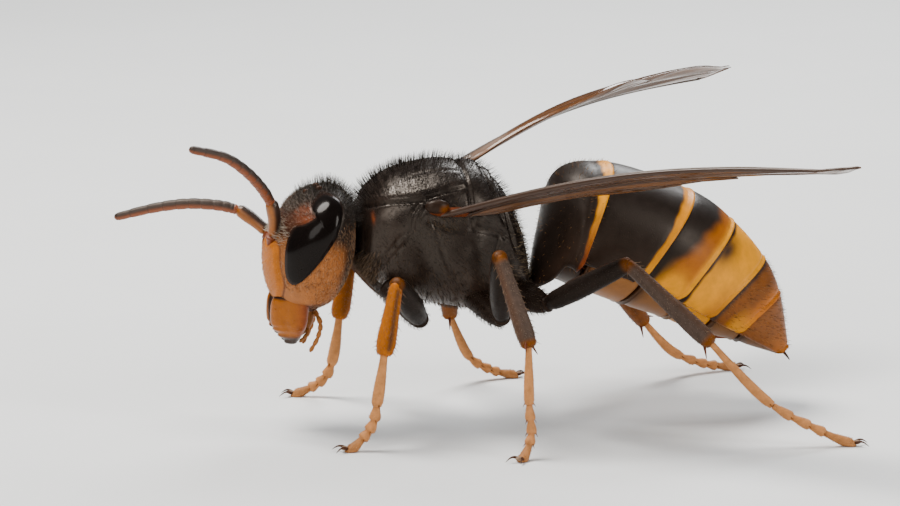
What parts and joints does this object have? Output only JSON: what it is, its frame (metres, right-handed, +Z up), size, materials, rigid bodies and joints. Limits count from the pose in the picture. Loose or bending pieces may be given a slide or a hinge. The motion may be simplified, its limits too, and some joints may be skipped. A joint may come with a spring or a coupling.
{
  "type": "yellow-legged asian hornet",
  "caption": "Dark hornet with an orange face, banded tapering body, yellow feet and narrow folded amber wings, standing on its feet.",
  "frame": {"origin": "on the floor, under the middle of the model's box", "axes": "+X from the face to the tail, +Y to the insect's right, +Z up"},
  "size_m": [0.0338, 0.0304, 0.0158],
  "materials": {
    "dark_shell": "satin black-brown shell under short hair",
    "face_shell": "satin orange shell with fine pits, black crown",
    "eye": "glossy black-brown",
    "feeler": "satin dark brown above, rust below",
    "band_shell": "satin yellow-orange shell",
    "brown_shell": "satin reddish-brown shell",
    "shin_shell": "satin grey-brown with orange ends",
    "foot_shell": "satin yellow-orange",
    "wing_membrane": "clear amber-brown film, glossy"
  },
  "bodies": {
    "root": {"eye_left": "eye", "eye_right": "eye", "head": "face_shell", "mandible_left": "face_shell", "mandible_right": "face_shell", "mouthparts": "face_shell", "scape_left": "feeler", "flagellum_left": "feeler", "scape_right": "feeler", "flagellum_right": "feeler", "pronotum": "dark_shell", "mesothorax": "dark_shell", "propodeum": "dark_shell", "tegula_left": "feeler", "tegula_right": "feeler", "gaster_1": "dark_shell", "gaster_2": "dark_shell", "gaster_3": "dark_shell", "gaster_4": "band_shell", "gaster_5": "brown_shell", "gaster_6": "brown_shell", "coxa_left_fore": "dark_shell", "femur_left_fore": "dark_shell", "tibia_left_fore": "shin_shell", "tarsus_left_fore": "foot_shell", "coxa_left_mid": "dark_shell", "femur_left_mid": "dark_shell", "tibia_left_mid": "shin_shell", "tarsus_left_mid": "foot_shell", "coxa_left_hind": "dark_shell", "femur_left_hind": "dark_shell", "tibia_left_hind": "shin_shell", "tarsus_left_hind": "foot_shell", "coxa_right_fore": "dark_shell", "femur_right_fore": "dark_shell", "tibia_right_fore": "shin_shell", "tarsus_right_fore": "foot_shell", "coxa_right_mid": "dark_shell", "femur_right_mid": "dark_shell", "tibia_right_mid": "shin_shell", "tarsus_right_mid": "foot_shell", "coxa_right_hind": "dark_shell", "femur_right_hind": "dark_shell", "tibia_right_hind": "shin_shell", "tarsus_right_hind": "foot_shell", "forewing_left": "wing_membrane", "hindwing_left": "wing_membrane", "forewing_right": "wing_membrane", "hindwing_right": "wing_membrane"}
  },
  "joints": []
}
